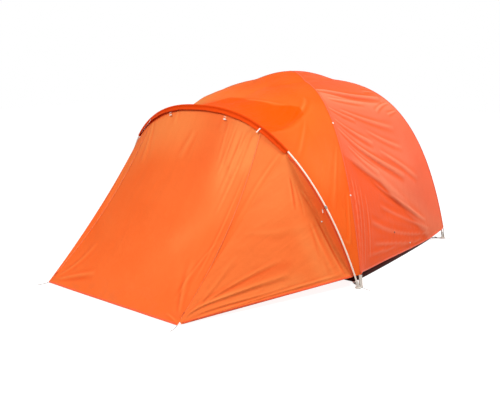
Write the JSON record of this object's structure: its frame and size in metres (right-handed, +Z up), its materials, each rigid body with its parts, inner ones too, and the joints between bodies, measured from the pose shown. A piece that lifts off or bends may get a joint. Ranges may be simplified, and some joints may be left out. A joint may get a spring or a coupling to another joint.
{
  "type": "dome tent",
  "caption": "Free-standing dome tent on crossed hollow poles, with a hooped porch whose side doors and zips open, and a hung inner tent with its own door.",
  "frame": {"origin": "on the ground, midway between the front hem and the back of the rear feet, on the tent's centre line", "axes": "+X to the right seen from the porch, +Y from the porch to the back, +Z up"},
  "size_m": [2.4974, 2.9671, 1.4389],
  "materials": {
    "bare_aluminium": "drawn tube",
    "clip_grey": "moulded, grey",
    "cord_dark": "braided cord, dark",
    "cord_grey": "braided cord",
    "cord_red": "braided cord, dark red",
    "dark_plastic": "moulded, black",
    "fly_coral": "coated ripstop, red orange",
    "fly_orange": "coated ripstop, bright orange",
    "foot_plastic": "moulded, light grey",
    "hub_plastic": "moulded",
    "inner_pale": "light breathable weave, pale grey",
    "pole_tube": "smooth powder coat, cream",
    "shock_elastic": "braided elastic",
    "sleeve_red": "coated plain weave, dark orange",
    "tip_metal": "anodised grey",
    "toggle_white": "moulded, white",
    "tub_maroon": "heavy coated weave, dark maroon",
    "webbing_grey": "flat webbing",
    "webbing_red": "flat webbing, dark red",
    "webbing_white": "flat webbing, white",
    "zip_metal": "die cast, grey",
    "zip_orange": "zip coil, orange",
    "zip_plastic": "moulded teeth and tape"
  },
  "bodies": {
    "tent": {"hoop_pole": "pole_tube", "dome_pole_a": "pole_tube", "dome_pole_b": "pole_tube", "brow_pole": "pole_tube", "ferrules": "bare_aluminium", "pole_tips": "tip_metal", "shock_cord": "shock_elastic", "pole_hub": "hub_plastic", "foot_front_right": "foot_plastic", "foot_front_left": "foot_plastic", "foot_rear_right": "foot_plastic", "foot_rear_left": "foot_plastic", "floor_straps": "webbing_grey", "strap_buckles": "dark_plastic", "tub_floor": "tub_maroon", "inner_front_wall": "inner_pale", "inner_front_roof": "inner_pale", "inner_right": "inner_pale", "inner_left": "inner_pale", "inner_rear": "inner_pale", "inner_zip": "zip_plastic", "canopy_hooks": "dark_plastic", "fly_front_roof": "fly_orange", "fly_right": "fly_coral", "fly_left": "fly_coral", "fly_rear": "fly_coral", "hoop_sleeve": "sleeve_red", "front_panel": "fly_orange", "gusset_right": "fly_orange", "gusset_left": "fly_orange", "edge_strip_right": "fly_coral", "edge_strip_left": "fly_coral", "door_zip_right": "zip_orange", "door_zip_left": "zip_orange", "sleeve_straps": "webbing_white", "pole_clip_right": "clip_grey", "pole_clip_left": "clip_grey", "ridge_clips": "toggle_white", "side_fittings": "toggle_white", "corner_tabs": "webbing_grey", "cord_front_right": "cord_grey", "cord_front_left": "cord_grey", "cord_rear_right": "cord_red", "cord_rear_left": "cord_red", "cord_hem_right": "cord_dark", "cord_hem_left": "cord_dark"},
    "side_door_right": {"side_door_right": "fly_orange", "door_toggle_right": "toggle_white"},
    "side_door_left": {"side_door_left": "fly_orange", "door_toggle_left": "toggle_white"},
    "zip_slider_right": {"zip_slider_right": "zip_metal"},
    "zip_slider_left": {"zip_slider_left": "zip_metal"},
    "inner_door": {"inner_door": "inner_pale"},
    "inner_zip_slider": {"inner_zip_slider": "zip_metal"},
    "rollup_tie_right": {"rollup_toggle_right": "toggle_white"},
    "rollup_tie_left": {"rollup_toggle_left": "toggle_white"},
    "side_tie_right": {"clip_loop_right": "webbing_red", "side_toggle_right": "toggle_white"},
    "side_tie_left": {"clip_loop_left": "webbing_red", "side_toggle_left": "toggle_white"}
  },
  "joints": [
    {"name": "side_door_right_swing", "type": "hinge", "parent": "tent", "child": "side_door_right", "pos_m": [0.63, -1.435, 0.006], "axis": [-0.062, -0.731, -0.6796], "range_deg": [0, 110]},
    {"name": "side_door_left_swing", "type": "hinge", "parent": "tent", "child": "side_door_left", "pos_m": [-0.63, -1.435, 0.006], "axis": [-0.062, 0.731, 0.6796], "range_deg": [0, 110]},
    {"name": "zip_right_travel", "type": "hinge", "parent": "tent", "child": "zip_slider_right", "pos_m": [0.39373, -3.23318, 2.55569], "axis": [0.9957, 0, 0.0923], "range_deg": [0, 23]},
    {"name": "zip_left_travel", "type": "hinge", "parent": "tent", "child": "zip_slider_left", "pos_m": [-0.39373, -3.23318, 2.55569], "axis": [0.9957, 0, -0.0923], "range_deg": [0, 23]},
    {"name": "inner_door_swing", "type": "hinge", "parent": "tent", "child": "inner_door", "pos_m": [-0.311, -0.07652, 0.14329], "axis": [0, -0.2733, -0.9619], "range_deg": [0, 95]},
    {"name": "inner_zip_travel", "type": "slide", "parent": "tent", "child": "inner_zip_slider", "axis": [0, 0.2733, 0.9619], "range_m": [0, 0.38]},
    {"name": "rollup_tie_right_swing", "type": "hinge", "parent": "tent", "child": "rollup_tie_right", "pos_m": [0.26491, -0.54394, 1.16172], "axis": [-0.9774, -0.0558, 0.204], "range_deg": [0, 60]},
    {"name": "rollup_tie_left_swing", "type": "hinge", "parent": "tent", "child": "rollup_tie_left", "pos_m": [-0.26491, -0.54394, 1.16172], "axis": [-0.9774, 0.0558, -0.204], "range_deg": [0, 60]},
    {"name": "side_tie_right_swing", "type": "hinge", "parent": "tent", "child": "side_tie_right", "pos_m": [0.96892, -0.33511, 0.57733], "axis": [-0.4173, -0.2398, 0.8766], "range_deg": [0, 60]},
    {"name": "side_tie_left_swing", "type": "hinge", "parent": "tent", "child": "side_tie_left", "pos_m": [-0.96892, -0.33511, 0.57733], "axis": [-0.4173, 0.2398, -0.8766], "range_deg": [0, 60]}
  ]
}
